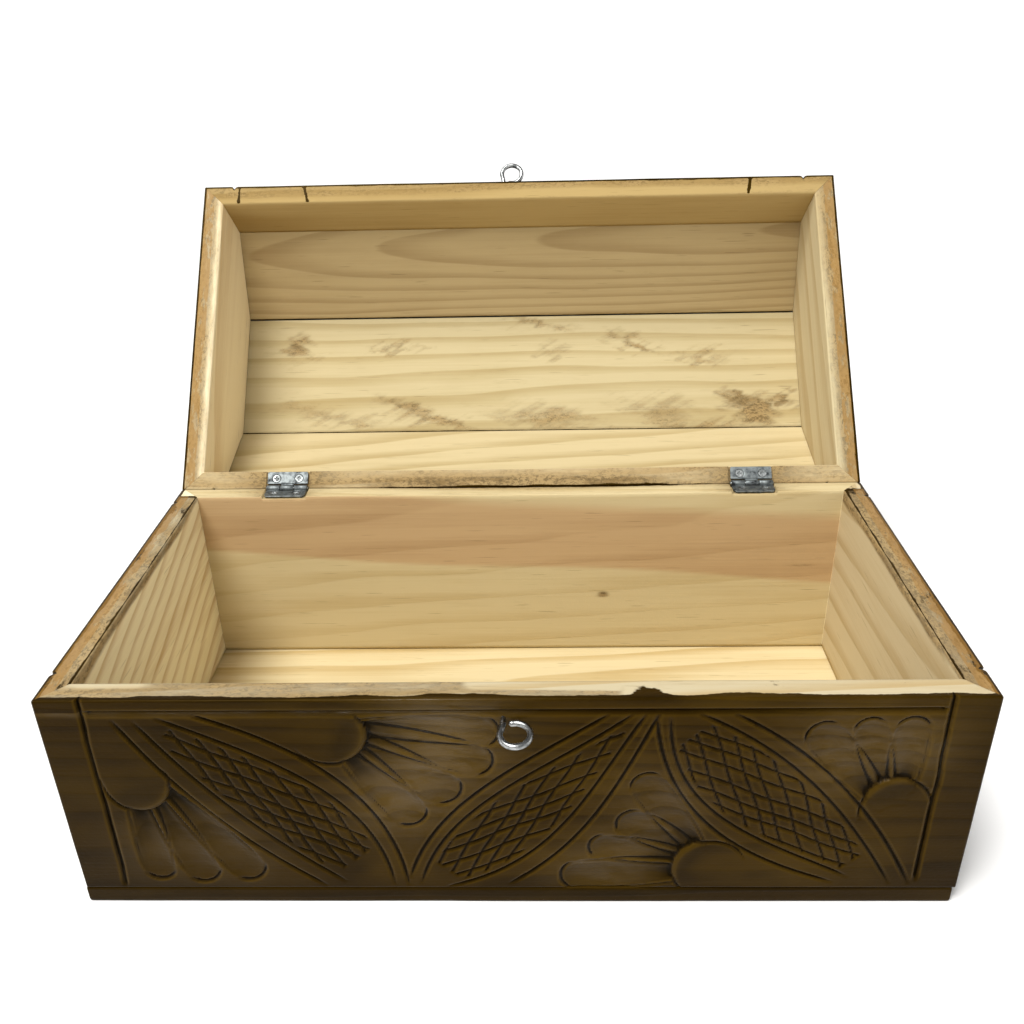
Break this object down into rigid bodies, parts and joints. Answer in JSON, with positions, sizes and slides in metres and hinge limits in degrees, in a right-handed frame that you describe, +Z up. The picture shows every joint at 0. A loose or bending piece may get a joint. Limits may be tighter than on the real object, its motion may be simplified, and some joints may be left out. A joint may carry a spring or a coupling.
{
  "type": "jewelry box",
  "caption": "Carved wooden jewelry box with a mitred board case, a hollow arched slat lid on butt hinges, and screw eyes for a padlock.",
  "frame": {"origin": "middle of the bottom board's underside, where the box rests", "axes": "+X to the right along the front, -Y out of the carved front, +Z up; the lid is at rest open on its stop"},
  "size_m": [0.3, 0.2855, 0.2083],
  "materials": {
    "stained_wood": "carved pine, walnut stain under satin varnish outside, bare inside",
    "bare_wood": "sanded bare pine, stained edges",
    "zinc_steel": "zinc-plated steel",
    "zinc_screws": "zinc-plated screws"
  },
  "bodies": {
    "case": {"bottom_board": "bare_wood", "front_board": "stained_wood", "back_board": "stained_wood", "left_board": "stained_wood", "right_board": "stained_wood", "case_eye": "zinc_steel", "left_hinge_case_leaf": "zinc_steel", "left_hinge_pin": "zinc_steel", "left_hinge_case_screw_a": "zinc_screws", "left_hinge_case_screw_b": "zinc_screws", "right_hinge_case_leaf": "zinc_steel", "right_hinge_pin": "zinc_steel", "right_hinge_case_screw_a": "zinc_screws", "right_hinge_case_screw_b": "zinc_screws"},
    "lid": {"lid_front_rail": "stained_wood", "lid_back_rail": "stained_wood", "lid_left_end": "stained_wood", "lid_right_end": "stained_wood", "lid_front_slat": "stained_wood", "lid_top_slat": "stained_wood", "lid_back_slat": "stained_wood", "lid_eye": "zinc_steel", "left_hinge_lid_leaf": "zinc_steel", "left_hinge_lid_screw_a": "zinc_screws", "left_hinge_lid_screw_b": "zinc_screws", "right_hinge_lid_leaf": "zinc_steel", "right_hinge_lid_screw_a": "zinc_screws", "right_hinge_lid_screw_b": "zinc_screws"}
  },
  "joints": [
    {"name": "lid_hinge", "type": "hinge", "parent": "case", "child": "lid", "pos_m": [0, 0.0744, 0.08815], "axis": [1, 0, 0], "range_deg": [0, 130.7]}
  ]
}
